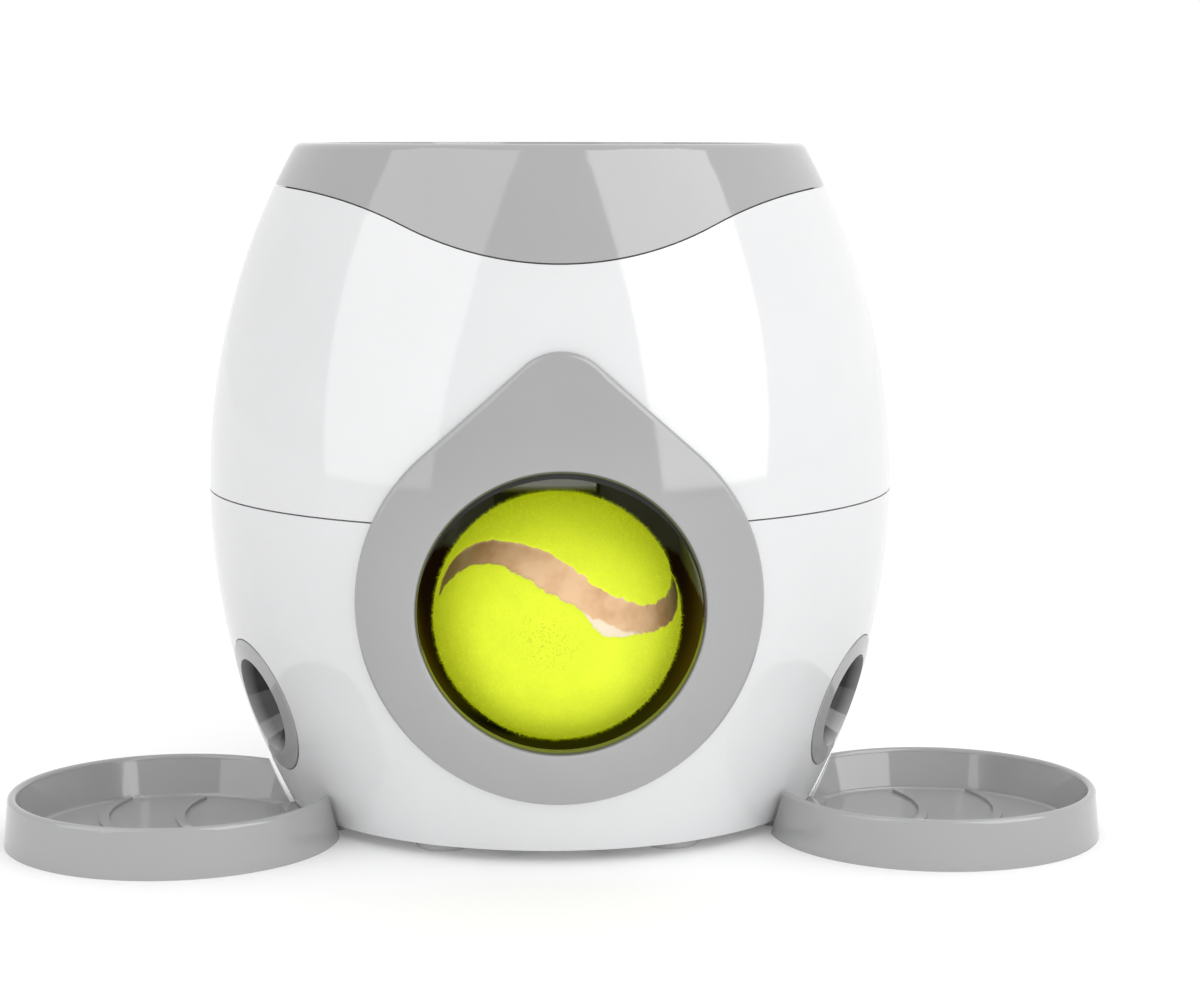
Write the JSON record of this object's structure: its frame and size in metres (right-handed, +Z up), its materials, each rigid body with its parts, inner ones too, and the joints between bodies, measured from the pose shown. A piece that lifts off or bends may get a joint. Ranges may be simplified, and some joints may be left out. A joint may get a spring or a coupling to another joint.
{
  "type": "gravity dog ball launcher and treat dispenser",
  "caption": "Barrel-shaped pet toy: a ball dropped in the top turns a hidden dosing wheel, rolls out of a round front mouth and drops treats into two side bowls.",
  "frame": {"origin": "on the barrel's axis at floor level, under the middle of the body", "axes": "+Z up, -Y out of the round ball mouth, +X to the right as someone facing the mouth sees it"},
  "size_m": [0.295, 0.1914, 0.185],
  "materials": {
    "white_abs": "gloss white ABS",
    "grey_abs": "gloss mid-grey ABS",
    "inner_abs": "satin dark grey ABS",
    "wheel_acetal": "matt natural acetal",
    "bush_nylon": "matt natural nylon",
    "steel": "bright zinc-plated steel",
    "foot_rubber": "matt pale grey rubber",
    "ball_felt": "fluffy neon yellow-green felt",
    "ball_rubber": "matt natural rubber"
  },
  "bodies": {
    "housing": {"upper_shell": "white_abs", "lower_shell": "white_abs", "front_bezel": "grey_abs", "outlet_ring_right": "grey_abs", "outlet_ring_left": "grey_abs", "base_plate": "white_abs", "ball_tube": "inner_abs", "ball_ramp": "inner_abs", "mechanism_deck": "inner_abs", "hopper_floor": "inner_abs", "drum_housing_right": "inner_abs", "drum_housing_left": "inner_abs", "treat_chute_right": "inner_abs", "treat_chute_left": "inner_abs", "axle_bushes": "bush_nylon", "base_screws": "steel", "ramp_screws": "steel", "deck_screws": "steel", "shell_screws": "steel", "housing_screws": "steel", "rubber_feet": "foot_rubber"},
    "cover": {"top_cover": "grey_abs"},
    "right_bowl": {"bowl_right": "grey_abs"},
    "left_bowl": {"bowl_left": "grey_abs"},
    "dosing_rotor": {"paddle_wheel": "wheel_acetal", "dosing_drum_right": "wheel_acetal", "dosing_drum_left": "wheel_acetal", "wheel_axle": "steel"},
    "ball": {"tennis_ball_felt": "ball_felt", "tennis_ball_core": "ball_rubber"}
  },
  "joints": [
    {"name": "cover_lift", "type": "slide", "parent": "housing", "child": "cover", "axis": [0, 0, 1], "range_m": [0, 0.06]},
    {"name": "right_bowl_pull", "type": "slide", "parent": "housing", "child": "right_bowl", "axis": [0.9272, -0.3746, 0], "range_m": [0, 0.05]},
    {"name": "left_bowl_pull", "type": "slide", "parent": "housing", "child": "left_bowl", "axis": [-0.9272, -0.3746, 0], "range_m": [0, 0.05]},
    {"name": "wheel_spin", "type": "hinge", "parent": "housing", "child": "dosing_rotor", "pos_m": [0, 0.05, 0.11], "axis": [1, 0, 0], "continuous": true},
    {"name": "ball_roll_out", "type": "slide", "parent": "housing", "child": "ball", "axis": [0, -0.9877, 0.1564], "range_m": [0, 0.1]}
  ]
}
